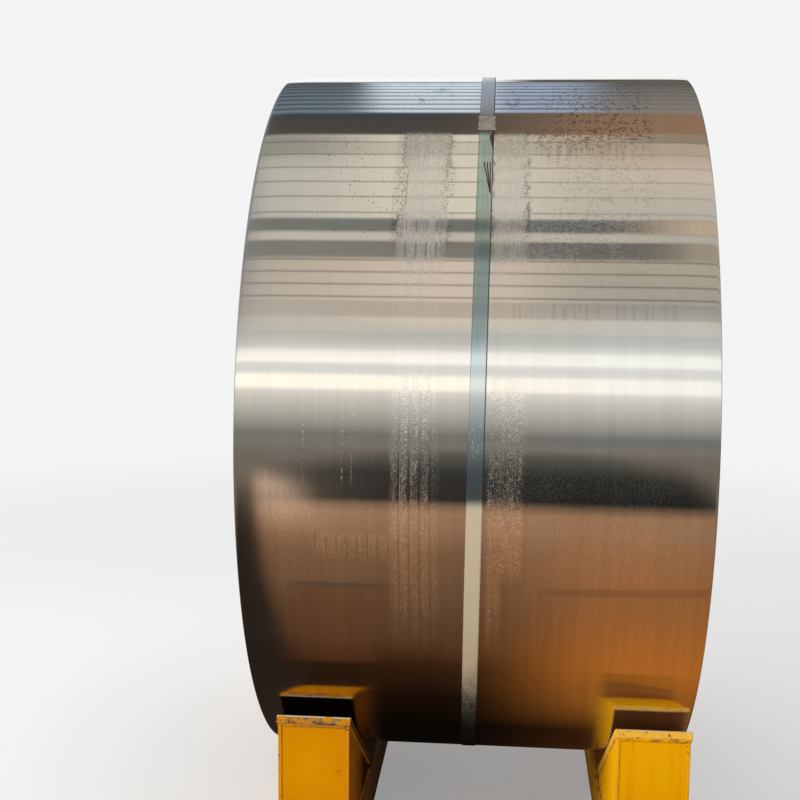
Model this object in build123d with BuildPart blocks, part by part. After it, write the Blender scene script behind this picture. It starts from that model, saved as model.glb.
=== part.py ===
from build123d import *
from math import cos, radians, sin, tan
import os

os.makedirs("parts", exist_ok=True)

# A slit steel coil lying with its axis along X on four welded wedge chocks.
# Millimetres, floor at Z = 0, the coil's middle at X = 0 and Y = 0, the front at -Y.

# coil
strip_width = 1000.0
coil_radius = 892.0
bore_radius = 254.0
rim_edge = 3.5
# bands of turns on the ends: outer radius, set-back at +X, set-back at -X
turn_bands = [
    (262.0, 0.0, 0.0),
    (275.0, 14.0, 12.0),
    (352.0, 6.0, 4.5),
    (470.0, 3.5, 6.5),
    (588.0, 6.0, 4.0),
    (694.0, 3.0, 6.0),
    (806.0, 5.0, 3.0),
]
band_step = 3.0

# strap round the middle, laid on slightly askew
strap_width = 34.0
strap_thickness = 0.9
strap_gap = 0.3
strap_x = -6.5
strap_lean_top = 11.0
strap_lean_front = 12.5
strap_blank = 120.0

# crimped seal on the strap
seal_angle = 34.7
seal_length = 62.0
seal_lip = 2.2
seal_thickness = 1.3
seal_gap = 0.2
notch_radius = 3.2
notch_spacing = 26.0

# chocks
slope_angle = 33.4
tip_distance = 229.0
tip_height = 24.0
wear_length = 520.0
wear_width = 175.0
wear_thickness = 20.0
wear_edge = 2.0
seat_gap = 0.25
body_width = 168.0
side_thickness = 9.0
side_nose = 3.0
back_thickness = 10.0
back_overhang = 7.0
back_recess = 1.5
top_weld = 7.0
left_chock_x = -365.0
right_chock_x = 416.0

# base plates under the chocks
plate_thickness = 10.0
plate_width = 172.0
plate_reach = 110.0
plate_inset = 12.0
plate_skew = 48.0

# rails
rail_width = 180.0
rail_height = 123.0
rail_wall = 8.0
rail_corner = 6.0
rail_end = 40.0

# heights and reaches that follow
slope = radians(slope_angle)
base_top = rail_height + plate_thickness
tip_top = base_top + tip_height
coil_height = tip_top + (coil_radius + seat_gap) / cos(slope) - tip_distance * tan(slope)
wear_end = tip_distance + wear_length * cos(slope) + wear_thickness * sin(slope)
back_face = wear_end - back_overhang
plate_end = back_face + plate_reach
rail_reach = plate_end + rail_end
coil_centre = (0, 0, coil_height)
half_width = strip_width / 2


def underside(y):
    # height of the wear plate's underside at a distance y from the middle
    return tip_top + (y - tip_distance) * tan(slope) - wear_thickness / cos(slope)


def save(piece, node):
    piece.label = node
    export_step(piece, f"parts/{node}.step")


# coil: one turned solid, its turns standing out in bands on both ends
right_face = []
left_face = []
inner = bore_radius
for outer, set_right, set_left in turn_bands:
    right_face += [(half_width - set_right, inner), (half_width - set_right, outer)]
    left_face += [(set_left - half_width, inner), (set_left - half_width, outer)]
    inner = outer + band_step
right_face += [(half_width, inner), (half_width, coil_radius)]
left_face += [(-half_width, inner), (-half_width, coil_radius)]

with BuildPart() as coil:
    with BuildSketch(Plane.XZ.shift_origin(coil_centre)):
        with BuildLine():
            Polyline(*right_face, *reversed(left_face), close=True)
        make_face()
        chamfer(vertices().group_by(Axis.Y)[-1], rim_edge)
    revolve(axis=Axis(coil_centre, (1, 0, 0)))
save(coil.part, "coil")

# strap: a thin shell on the coil, cut out by a slightly tilted slab
strap_plane = Plane(
    origin=(strap_x, 0, coil_height),
    z_dir=(1, strap_lean_front / coil_radius, -strap_lean_top / coil_radius),
)
strap_inner = coil_radius + strap_gap
strap_outer = strap_inner + strap_thickness

with BuildPart() as strap:
    with BuildSketch(Plane.YZ.shift_origin(coil_centre)):
        Circle(strap_outer)
        Circle(strap_inner, mode=Mode.SUBTRACT)
    extrude(amount=strap_blank / 2, both=True)
    with BuildSketch(strap_plane):
        Circle(2 * coil_radius)
    extrude(amount=strap_width / 2, both=True, mode=Mode.INTERSECT)
save(strap.part, "strap")

# seal: a folded sleeve that hugs the strap, with two pairs of crimp notches
seal_turn = Rot(X=seal_angle)
seal_plane = Plane(
    origin=(seal_turn * Pos(0, 0, strap_outer)).position + Vector(coil_centre),
    x_dir=(1, 0, 0),
    z_dir=(seal_turn * Pos(0, 0, 1)).position,
)
seal_middle = strap_x + strap_lean_top * cos(radians(seal_angle)) + strap_lean_front * sin(radians(seal_angle))
seal_inner = strap_outer + seal_gap
seal_outer = seal_inner + seal_thickness
seal_width = strap_width + 2 * (seal_gap + seal_lip)

with BuildPart() as seal:
    with BuildSketch(Plane.YZ.shift_origin(coil_centre)):
        Circle(seal_outer)
        Circle(strap_inner, mode=Mode.SUBTRACT)
    extrude(amount=strap_blank / 2, both=True)
    with BuildSketch(strap_plane):
        Circle(2 * coil_radius)
    extrude(amount=seal_width / 2, both=True, mode=Mode.INTERSECT)
    with BuildSketch(seal_plane):
        Rectangle(2 * strap_blank, seal_length)
    extrude(amount=strap_blank / 2, both=True, mode=Mode.INTERSECT)
    with BuildPart(mode=Mode.SUBTRACT):
        with BuildSketch(Plane.YZ.shift_origin(coil_centre)):
            Circle(seal_inner)
            Circle(coil_radius, mode=Mode.SUBTRACT)
        extrude(amount=strap_blank / 2, both=True)
        with BuildSketch(strap_plane):
            Circle(2 * coil_radius)
        extrude(amount=strap_width / 2 + seal_gap, both=True, mode=Mode.INTERSECT)
    with BuildSketch(seal_plane):
        with Locations((seal_middle, 0)):
            with GridLocations(seal_width, notch_spacing, 2, 2):
                Circle(notch_radius)
    extrude(amount=strap_blank / 2, both=True, mode=Mode.SUBTRACT)
save(seal.part, "strap_seal")


def chock(name, centre_x, side):
    # side is -1 at the front of the coil and +1 behind it
    def outline(points):
        Polyline(*[(side * y, z) for y, z in points], close=True)

    slope_plane = Plane(
        origin=(centre_x, side * tip_distance, tip_top),
        x_dir=(0, side * cos(slope), sin(slope)),
        z_dir=(0, -side * sin(slope), cos(slope)),
    )
    with BuildPart() as wear_plate:
        with BuildSketch(slope_plane):
            Rectangle(wear_length, wear_width, align=(Align.MIN, Align.CENTER))
        extrude(amount=-wear_thickness)
        top_face = wear_plate.faces().sort_by(Axis.Z)[-1]
        chamfer(top_face.edges(), wear_edge)
    save(wear_plate.part, f"{name}_wear_plate")

    nose = tip_distance + wear_thickness * sin(slope) + side_nose
    for edge, offset in (("left", -body_width / 2), ("right", body_width / 2 - side_thickness)):
        with BuildPart() as side_plate:
            with BuildSketch(Plane.YZ.offset(centre_x + offset)):
                with BuildLine():
                    outline([
                        (nose, base_top),
                        (nose, underside(nose)),
                        (back_face, underside(back_face)),
                        (back_face, base_top),
                    ])
                make_face()
            extrude(amount=side_thickness)
        save(side_plate.part, f"{name}_{edge}_plate")

    outer = back_face - back_recess
    inner_face = outer - back_thickness
    with BuildPart() as back_plate:
        with BuildSketch(Plane.YZ.offset(centre_x)):
            with BuildLine():
                outline([
                    (inner_face, base_top),
                    (inner_face, underside(inner_face)),
                    (outer + top_weld / 2, underside(outer + top_weld / 2)),
                    (outer, underside(outer) - top_weld),
                    (outer, base_top),
                ])
            make_face()
        extrude(amount=body_width / 2 - side_thickness, both=True)
    save(back_plate.part, f"{name}_back_plate")

    with BuildPart() as base_plate:
        with BuildSketch(Plane.XY.offset(rail_height)):
            with BuildLine():
                half = plate_width / 2
                start = side * (tip_distance - plate_inset)
                end = side * plate_end
                Polyline(
                    (centre_x - half, start),
                    (centre_x + half, start),
                    (centre_x + half, end - side * plate_skew),
                    (centre_x - half, end),
                    close=True,
                )
            make_face()
        extrude(amount=plate_thickness)
    save(base_plate.part, f"{name}_base_plate")


for row, side in (("front", -1), ("rear", 1)):
    chock(f"{row}_left", left_chock_x, side)
    chock(f"{row}_right", right_chock_x, side)

# rails: hollow section, cut off plainly beyond the base plates
for name, centre_x in (("left", left_chock_x), ("right", right_chock_x)):
    with BuildPart() as rail:
        with BuildSketch(Plane.XZ):
            with Locations((centre_x, rail_height / 2)):
                RectangleRounded(rail_width, rail_height, rail_corner)
                Rectangle(rail_width - 2 * rail_wall, rail_height - 2 * rail_wall, mode=Mode.SUBTRACT)
        extrude(amount=rail_reach, both=True)
    save(rail.part, f"{name}_rail")
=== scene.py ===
import math
import random

import bmesh
import bpy
from mathutils import Matrix, Vector, noise


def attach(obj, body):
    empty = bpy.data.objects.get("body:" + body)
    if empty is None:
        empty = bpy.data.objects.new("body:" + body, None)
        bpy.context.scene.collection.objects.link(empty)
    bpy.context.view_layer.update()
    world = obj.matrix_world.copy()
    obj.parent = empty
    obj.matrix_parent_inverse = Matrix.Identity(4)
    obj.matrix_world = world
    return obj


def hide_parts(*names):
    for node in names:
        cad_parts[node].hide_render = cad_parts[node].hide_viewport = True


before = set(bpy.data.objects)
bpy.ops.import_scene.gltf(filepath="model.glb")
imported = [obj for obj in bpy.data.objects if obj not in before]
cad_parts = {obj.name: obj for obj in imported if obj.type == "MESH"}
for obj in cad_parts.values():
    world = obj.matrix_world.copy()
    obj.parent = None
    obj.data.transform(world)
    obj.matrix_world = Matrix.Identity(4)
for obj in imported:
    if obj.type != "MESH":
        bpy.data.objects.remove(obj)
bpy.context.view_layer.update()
scene = bpy.context.scene
scene.view_settings.view_transform = "Standard"
print("frame loaded")


class Wire:
    # one shader socket; sums written with it add Math nodes to the tree
    def __init__(self, tree, socket=None):
        self.tree = tree
        self.socket = socket

    def node(self, kind, settings=None, inputs=None, output=0):
        made = self.tree.nodes.new("ShaderNode" + kind)
        for name, value in (settings or {}).items():
            if name == "stops":
                setStops(made.color_ramp, value)
            elif name == "interpolation":
                made.color_ramp.interpolation = value
            else:
                setattr(made, name, value)
        for name, value in (inputs or {}).items():
            if isinstance(value, Wire):
                self.tree.links.new(value.socket, made.inputs[name])
            else:
                made.inputs[name].default_value = value
        return Wire(self.tree, made.outputs[output] if made.outputs else None)

    def math(self, operation, *values):
        return self.node("Math", {"operation": operation}, dict(enumerate(values)))

    def __add__(self, other):
        return self.math("ADD", self, other)

    def __radd__(self, other):
        return self.math("ADD", other, self)

    def __sub__(self, other):
        return self.math("SUBTRACT", self, other)

    def __rsub__(self, other):
        return self.math("SUBTRACT", other, self)

    def __mul__(self, other):
        return self.math("MULTIPLY", self, other)

    def __rmul__(self, other):
        return self.math("MULTIPLY", other, self)

    def __truediv__(self, other):
        return self.math("DIVIDE", self, other)

    def __neg__(self):
        return self.math("MULTIPLY", self, -1.0)

    def __abs__(self):
        return self.math("ABSOLUTE", self, 0.0)

    def smooth(self, low, high):
        # 0 below low, 1 above high; low may be the larger one
        if low < high:
            return self.node("MapRange", {"interpolation_type": "SMOOTHSTEP"}, {0: self, 1: low, 2: high})
        return 1.0 - self.smooth(high, low)

    def span(self, start, full, fade, end):
        # 1 from full to fade, easing in from start and out to end
        return self.smooth(start, full) * self.smooth(end, fade)

    def near(self, middle, inner, outer):
        # 1 within inner of the middle, 0 beyond outer
        return abs(self - middle).smooth(outer, inner)

    def most(self, other):
        return self.math("MAXIMUM", self, other)

    def mix(self, first, second):
        # this value is the share of the second colour
        return self.node("Mix", {"data_type": "RGBA"}, {0: self, 6: asColour(first), 7: asColour(second)}, 2)

    def noise(self, scale, detail, roughness):
        # scale is one number, or one for each axis
        if isinstance(scale, tuple):
            stretched = self.node("VectorMath", {"operation": "MULTIPLY"}, {0: self, 1: scale})
            return stretched.noise(1.0, detail, roughness)
        inputs = {"Vector": self, "Scale": scale, "Detail": detail, "Roughness": roughness}
        return self.node("TexNoise", {}, inputs)

    def lineNoise(self, detail):
        return self.node("TexNoise", {"noise_dimensions": "1D"}, {"W": self, "Scale": 1.0, "Detail": detail})

    def offMiddle(self):
        # 0 halfway between two whole numbers, 0.5 at each of them
        return abs(self.math("FRACT", self) - 0.5)

    def part(self, axis):
        return self.node("SeparateXYZ", {}, {0: self}, axis)


def setStops(ramp, stops):
    while len(ramp.elements) > 1:
        ramp.elements.remove(ramp.elements[0])
    ramp.elements[0].position = stops[0][0]
    ramp.elements[0].color = asColour(stops[0][1])
    for place, colour in stops[1:]:
        ramp.elements.new(place).color = asColour(colour)


def asColour(value):
    if isinstance(value, Wire):
        return value
    if isinstance(value, (int, float)):
        return (value, value, value, 1.0)
    return (*value, 1.0)


def newMaterial(name):
    material = bpy.data.materials.new(name)
    material.use_nodes = True
    material.node_tree.nodes.clear()
    return material, Wire(material.node_tree)


def finishMaterial(pen, colour, rough, metal, bump, extra=()):
    # bump: a height, the distance in metres that 1 of it stands for, and how strongly it shows
    height, distance, strength = bump
    normal = pen.node("Bump", {}, {"Height": height, "Distance": distance, "Strength": strength}, "Normal")
    inputs = {"Base Color": colour, "Roughness": rough, "Metallic": metal, "Normal": normal, **dict(extra)}
    pen.node("OutputMaterial", {}, {"Surface": pen.node("BsdfPrincipled", {}, inputs)})


def brushed(amount):
    return {"Anisotropic": amount, "Anisotropic Rotation": 0.25}


def addPiece(name, mesh, materials, replaces=(), smooth=False, matrix=None):
    piece = bpy.data.objects.new(name, mesh)
    scene.collection.objects.link(piece)
    if matrix is not None:
        piece.matrix_world = matrix
    for material in materials:
        mesh.materials.append(material)
    for face in mesh.polygons:
        face.use_smooth = smooth
    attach(piece, "root")
    for node in replaces:
        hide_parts(node)
    return piece


def dress(node, material):
    # for a solid that keeps its shape and only changes its looks
    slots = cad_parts[node].data.materials
    slots.clear()
    slots.append(material)


def turnOutward(mesh):
    shape = bmesh.new()
    shape.from_mesh(mesh)
    bmesh.ops.recalc_face_normals(shape, faces=shape.faces)
    shape.to_mesh(mesh)
    shape.free()
    return mesh


def ringFaces(rings, sides, closed=False):
    # four-sided faces between rings of points that follow each other
    faces = []
    for k in range(rings if closed else rings - 1):
        after = (k + 1) % rings
        for j in range(sides):
            beside = (j + 1) % sides
            faces.append((k * sides + j, k * sides + beside, after * sides + beside, after * sides + j))
    return faces


# camera, in line with the photograph

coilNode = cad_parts["coil"]
coilCorners = [coilNode.matrix_world @ Vector(corner) for corner in coilNode.bound_box]
coilCentre = sum(coilCorners, Vector()) / len(coilCorners)

view = {
    "fromCoil": (0.0633, -3.385, 0.4754),
    "yaw": -4.91,
    "pitch": 7.54,
    "roll": 0.53,
    "lens": 55.46,
}

camera = bpy.data.objects.new("camera", bpy.data.cameras.new("camera"))
scene.collection.objects.link(camera)
camera.data.lens = view["lens"]
camera.data.sensor_width = 36.0
camera.location = coilCentre + Vector(view["fromCoil"])
camera.rotation_mode = "QUATERNION"
camera.rotation_quaternion = (
    Matrix.Rotation(math.radians(-view["yaw"]), 3, "Z")
    @ Matrix.Rotation(math.radians(90.0 - view["pitch"]), 3, "X")
    @ Matrix.Rotation(math.radians(view["roll"]), 3, "Z")
).to_quaternion()
scene.camera = camera
print("camera set")


# studio: pale floor and surround, soft lamps, and soft bands that only shine sees

studio = {
    "floor": 0.92,
    "floorBounce": 0.50,
    "surround": 0.90,
    "fill": 0.52,
    "floorSize": 60.0,
    "fadeStart": 1.6,
    "fadeEnd": 6.0,
    "keyPower": 235.0,
    "sidePower": 215.0,
    "topPower": 90.0,
    "topLinePitch": 48.8,
    "middleLinePitch": 28.5,
    "lowLinePitch": 43.0,
    "patchReach": 8.0,
}

# what shine sees overhead: share of the half turn from the front horizon to the back one,
# then the colour there towards the left and towards the right
shineBands = [
    (0.000, (0.30, 0.28, 0.26), (0.27, 0.27, 0.26)),
    (0.017, (0.49, 0.47, 0.43), (0.48, 0.48, 0.46)),
    (0.062, (0.96, 0.92, 0.84), (0.94, 0.94, 0.90)),
    (0.074, (1.18, 1.12, 1.04), (1.14, 1.13, 1.09)),
    (0.080, (1.72, 1.62, 1.42), (1.55, 1.52, 1.45)),
    (0.100, (1.72, 1.62, 1.42), (1.55, 1.52, 1.45)),
    (0.106, (1.12, 1.14, 1.10), (1.12, 1.14, 1.14)),
    (0.120, (1.10, 1.12, 1.08), (1.12, 1.14, 1.14)),
    (0.126, (1.65, 1.58, 1.50), (1.50, 1.52, 1.50)),
    (0.142, (1.46, 1.42, 1.36), (1.42, 1.45, 1.43)),
    (0.150, (0.98, 0.98, 0.94), (1.00, 1.04, 1.02)),
    (0.175, (0.82, 0.82, 0.76), (0.84, 0.87, 0.85)),
    (0.205, (0.82, 0.76, 0.67), (0.86, 0.83, 0.76)),
    (0.240, (0.78, 0.70, 0.61), (0.58, 0.55, 0.49)),
    (0.313, (0.74, 0.65, 0.55), (0.64, 0.58, 0.47)),
    (0.318, (0.33, 0.32, 0.29), (0.18, 0.185, 0.17)),
    (0.348, (0.31, 0.30, 0.27), (0.17, 0.175, 0.16)),
    (0.352, (0.84, 0.77, 0.68), (0.70, 0.66, 0.57)),
    (0.366, (0.84, 0.77, 0.68), (0.70, 0.66, 0.57)),
    (0.370, (0.27, 0.275, 0.26), (0.15, 0.155, 0.155)),
    (0.394, (0.27, 0.275, 0.26), (0.15, 0.155, 0.155)),
    (0.398, (0.78, 0.76, 0.68), (0.74, 0.69, 0.61)),
    (0.500, (0.77, 0.75, 0.67), (0.86, 0.76, 0.66)),
    (0.560, (0.60, 0.59, 0.52), (0.72, 0.57, 0.44)),
    (0.604, (0.50, 0.48, 0.43), (0.72, 0.55, 0.42)),
    (0.610, (0.11, 0.10, 0.09), (0.42, 0.26, 0.165)),
    (0.678, (0.08, 0.08, 0.078), (0.38, 0.24, 0.155)),
    (0.686, (0.22, 0.29, 0.36), (0.35, 0.315, 0.285)),
    (0.800, (0.17, 0.21, 0.25), (0.22, 0.21, 0.195)),
    (0.862, (0.13, 0.14, 0.145), (0.13, 0.12, 0.105)),
    (0.870, (1.20, 1.22, 1.25), (1.10, 1.10, 1.08)),
    (1.000, (0.80, 0.80, 0.80), (0.70, 0.70, 0.68)),
]

# what shine sees of the floor, painted light and shade: near black under the coil, warm painted sunlight
# further out, dark again far off; share of its reach in front and behind, then left and right
patchBands = [
    (0.045, (0.004, 0.003, 0.002), (0.05, 0.018, 0.005)),
    (0.075, (0.015, 0.007, 0.004), (0.42, 0.140, 0.022)),
    (0.105, (0.060, 0.025, 0.010), (0.66, 0.210, 0.034)),
    (0.120, (0.130, 0.060, 0.025), (0.62, 0.205, 0.038)),
    (0.175, (0.220, 0.115, 0.060), (0.46, 0.185, 0.062)),
    (0.250, (0.300, 0.165, 0.085), (0.47, 0.220, 0.098)),
    (0.310, (0.440, 0.250, 0.150), (0.48, 0.260, 0.140)),
    (0.375, (0.500, 0.295, 0.178), (0.49, 0.275, 0.155)),
    (0.412, (0.340, 0.210, 0.128), (0.25, 0.155, 0.095)),
    (0.452, (0.045, 0.040, 0.036), (0.022, 0.022, 0.019)),
    (0.700, (0.055, 0.052, 0.046), (0.036, 0.036, 0.032)),
    (1.000, (0.100, 0.096, 0.088), (0.085, 0.085, 0.077)),
]


def rampPair(along, bands, share):
    # two colour ramps over the same stops, mixed from left to right
    first = along.node("ValToRGB", {"stops": [(place, left) for place, left, _ in bands]}, {0: along})
    second = along.node("ValToRGB", {"stops": [(place, right) for place, _, right in bands]}, {0: along})
    return share.mix(first, second)


def buildWorld():
    world = bpy.data.worlds.new("studioWorld")
    world.use_nodes = True
    world.node_tree.nodes.clear()
    scene.world = world
    pen = Wire(world.node_tree)
    way = pen.node("TexCoord", output="Generated")
    side, depth, height = way.part(0), way.part(1), way.part(2)
    turn = pen.math("ARCTAN2", height, -depth) / math.pi
    shine = rampPair(turn, shineBands, side.smooth(-0.06, 0.10))
    coolBand = turn.span(0.682, 0.688, 0.850, 0.862)
    shine = (side.near(0.02, 0.01, 0.07) * coolBand * 0.8).mix(shine, (0.54, 0.65, 0.87))
    shine = (side.near(-0.062, 0.036, 0.062) * coolBand * 0.95).mix(shine, (0.92, 1.06, 1.20))
    top = side.smooth(-0.02, 0.02) * turn.span(0.862, 0.866, 0.894, 0.902)
    shine = top.mix(shine, (0.13, 0.12, 0.105))
    # brightest left of the middle and greener at the far left
    glow = side.near(-0.050, 0.025, 0.120)
    high = glow * turn.span(0.394, 0.402, 0.604, 0.608)
    shine = (high * 0.80).mix(shine, (1.12, 1.03, 0.88))
    low = glow * turn.span(0.180, 0.200, 0.312, 0.318)
    shine = (low * 0.75).mix(shine, (1.05, 0.89, 0.76))
    dusk = turn.span(0.203, 0.208, 0.232, 0.237)
    dusk = (dusk * 0.24).most(turn.span(0.154, 0.160, 0.176, 0.182) * 0.10)
    shine = (dusk * (0.45 + 0.55 * side.smooth(-0.20, -0.08))).mix(shine, 0.0)
    dull = side.smooth(-0.110, -0.165) * turn.span(0.535, 0.560, 0.592, 0.602)
    shine = (dull * 0.7).mix(shine, (0.38, 0.38, 0.33))
    paleBand = turn.span(0.547, 0.551, 0.581, 0.585)
    shine = (paleBand * 0.30).mix(shine, (0.52, 0.50, 0.40))
    corner = side.smooth(0.075, 0.105) * turn.span(0.580, 0.586, 0.605, 0.610)
    shine = (corner * 0.85).mix(shine, (0.36, 0.31, 0.23))
    gaps = side.smooth(0.099, 0.123) * turn.span(0.366, 0.370, 0.394, 0.398)
    shine = gaps.mix(shine, (0.74, 0.60, 0.46))
    gaps = side.smooth(0.120, 0.144) * turn.span(0.310, 0.314, 0.348, 0.352) * 0.8
    shine = gaps.mix(shine, (0.62, 0.53, 0.41))
    # thin dark lines across the bands, closest at the top
    topLines = (turn * studio["topLinePitch"] + 0.364).offMiddle().smooth(0.19, 0.09)
    topLines = topLines * turn.span(0.684, 0.690, 0.850, 0.862) * (0.22 + 0.46 * side.smooth(0.10, 0.02))
    middleLines = (turn * studio["middleLinePitch"] + 0.850).offMiddle().smooth(0.060, 0.028)
    middleLines = middleLines * turn.span(0.396, 0.402, 0.598, 0.604) * (0.26 + 0.26 * side.smooth(0.08, 0.0))
    lowLines = (turn * studio["lowLinePitch"] + 0.090).offMiddle().smooth(0.10, 0.05)
    lowLines = lowLines * turn.span(0.237, 0.240, 0.314, 0.318) * 0.45
    shine = topLines.most(middleLines).most(lowLines).mix(shine, 0.0)
    shine = (side.smooth(-0.195, -0.30) * turn.smooth(0.10, 0.30) * 0.85).mix(shine, (0.34, 0.36, 0.37))
    shine = abs(side).smooth(0.45, 0.90).mix(shine, (0.62, 0.60, 0.56))
    camera = pen.node("LightPath", output="Is Camera Ray")
    glossy = pen.node("LightPath", output="Is Glossy Ray")
    colour = camera.mix(glossy.mix(studio["fill"], shine), studio["surround"])
    light = pen.node("Background", {}, {"Color": colour, "Strength": 1.0})
    pen.node("OutputWorld", {}, {"Surface": light})


def buildFloor():
    size = studio["floorSize"] / 2
    mesh = bpy.data.meshes.new("floor")
    corners = [(-size, -size, 0), (size, -size, 0), (size, size, 0), (-size, size, 0)]
    mesh.from_pydata(corners, [], [(0, 1, 2, 3)])
    floor = bpy.data.objects.new("floor", mesh)
    scene.collection.objects.link(floor)
    material, pen = newMaterial("paleFloor")
    place = pen.node("TexCoord", output="Object")
    x, y = place.part(0), place.part(1)
    away = place.node("VectorMath", {"operation": "LENGTH"}, {0: place}, "Value")
    camera = pen.node("LightPath", output="Is Camera Ray")
    glossy = pen.node("LightPath", output="Is Glossy Ray")
    # what shine sees: a warm pool of painted sunlight with a slanting left edge, painted shadow beyond it
    reach = abs(y)
    patch = rampPair(reach / studio["patchReach"], patchBands, x.smooth(-0.05, 0.42))
    shade = (x + 0.290 + reach * 0.222).smooth(-0.05, 0.03)
    # a warm strip of painted sunlight runs on into the distance at the far left
    strip = (0.03 - x - reach * 0.242).smooth(-0.02, 0.02) * reach.smooth(10.5, 8.0)
    strip = strip * (0.45 * reach.smooth(2.2, 3.4) + 0.55 * reach.smooth(3.0, 4.6))
    patch = strip.mix(patch, (1.18, 0.81, 0.56))
    # thin dark joints across it
    joint = reach.near(1.53, 0.012, 0.035) * x.near(-0.415, 0.130, 0.160)
    joint = joint.most(abs(reach - 1.50 - x * 0.08).smooth(0.070, 0.020) * x.smooth(0.16, 0.24) * 0.7)
    patch = (joint * 0.33).mix(patch, 0.02)
    slab = reach.near(1.18, 0.32, 0.35) * x.near(-0.415, 0.130, 0.160)
    patch = (slab * 0.5).mix(patch, (0.19, 0.080, 0.034))
    patch = (1.0 - shade).mix(patch, (0.035, 0.026, 0.020))
    patch = abs(x).smooth(0.9, 1.8).mix(patch, (0.26, 0.22, 0.18))
    patch = away.smooth(6.0, 20.0).mix(patch, shineBands[0][1])
    seen = pen.node("Emission", {}, {"Color": patch, "Strength": 1.0})
    ground = pen.node("BsdfDiffuse", {}, {"Color": camera.mix(studio["floorBounce"], studio["floor"])})
    haze = pen.node("Emission", {}, {"Color": asColour(studio["surround"]), "Strength": 1.0})
    fade = (0.30 + 0.70 * away.smooth(studio["fadeStart"], studio["fadeEnd"])) * camera
    surface = pen.node("MixShader", {}, {0: fade, 1: ground, 2: haze})
    surface = pen.node("MixShader", {}, {0: glossy, 1: surface, 2: seen})
    pen.node("OutputMaterial", {}, {"Surface": surface})
    mesh.materials.append(material)


def addLamp(name, place, target, size, power, colour):
    lamp = bpy.data.objects.new(name, bpy.data.lights.new(name, "AREA"))
    scene.collection.objects.link(lamp)
    lamp.data.shape = "RECTANGLE"
    lamp.data.size, lamp.data.size_y = size
    lamp.data.energy = power
    lamp.data.color = colour
    lamp.location = place
    lamp.rotation_mode = "QUATERNION"
    lamp.rotation_quaternion = (Vector(target) - Vector(place)).to_track_quat("-Z", "Y")
    lamp.visible_glossy = False


buildWorld()
buildFloor()
addLamp("keyLamp", (-5.0, -4.2, 3.0), (0.0, 0.0, 0.7), (2.4, 2.0), studio["keyPower"], (1.0, 0.97, 0.92))
addLamp("sideLamp", (-7.0, -2.5, 1.3), (0.3, -0.4, 0.3), (3.0, 1.6), studio["sidePower"], (1.0, 0.98, 0.95))
addLamp("topLamp", (0.6, 1.0, 5.2), (0.0, 0.0, 1.0), (4.0, 4.0), studio["topPower"], (0.96, 0.98, 1.0))
print("studio built")


# coil: turned about its own Z axis, then laid along X

coilLook = {
    "width": 1.0,
    "radius": 0.892,
    "bore": 0.254,
    "rim": 0.0026,
    "rimSteps": 4,
    "segments": 320,
    "tailAngle": 218.0,
    "tailGap": 0.0009,
    "sheet": 0.0008,
    "looseDepth": 0.004,
    "turnWidth": (0.006, 0.0145),
    "turnGap": 0.0003,
    "turnShift": 0.0009,
    "mostShift": 0.0022,
    "flush": 0.002,
    "crownStart": 0.43,
    "crownDrop": 0.0012,
    "faceRows": (
        0.492, 0.484, 0.475, 0.465, 0.455, 0.44, 0.42, 0.39, 0.25, 0.12,
        0.0, -0.12, -0.25, -0.39, -0.42, -0.44, -0.455, -0.465, -0.475, -0.484, -0.492,
    ),
    "seed": 11,
}

# outer radius of each band of turns and its set-back at the two ends, as in the solid
turnBands = [
    (0.262, 0.0, 0.0),
    (0.275, 0.014, 0.012),
    (0.352, 0.006, 0.0045),
    (0.470, 0.0035, 0.0065),
    (0.588, 0.006, 0.004),
    (0.694, 0.003, 0.006),
    (0.806, 0.005, 0.003),
    (0.892, 0.0, 0.0),
]


# the coil's materials, in the order of their slots
rolledFace, turnEdges, boreFace = range(3)


def crown(along):
    # the strip thins a little towards its edges, so the face falls away there
    fall = max(0.0, abs(along) - coilLook["crownStart"]) / (coilLook["width"] / 2 - coilLook["crownStart"])
    return coilLook["crownDrop"] * fall ** 2


def endProfile(end, dice):
    # points from the bore out to the rim: radius and distance in from the end
    look = coilLook
    points = []
    inner = look["bore"]
    for outer, setRight, setLeft in turnBands:
        depth = setRight if end > 0 else setLeft
        radius = inner
        while radius < outer - 1e-6:
            step = dice.uniform(*look["turnWidth"])
            following = min(radius + step, outer)
            if outer - following < look["turnWidth"][0]:
                following = outer
            shift = min(abs(dice.gauss(0.0, look["turnShift"])), look["mostShift"])
            # turns that stand flush only shift inward
            wanted = depth + (shift if depth < look["flush"] else dice.choice((-1, 1)) * shift)
            points.append((radius + look["turnGap"], wanted))
            points.append((following - look["turnGap"], wanted))
            radius = following
        inner = outer
    points[-1] = (look["radius"] - crown(look["width"] / 2 - look["rim"]) - look["rim"], points[-1][1])
    return points


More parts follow.
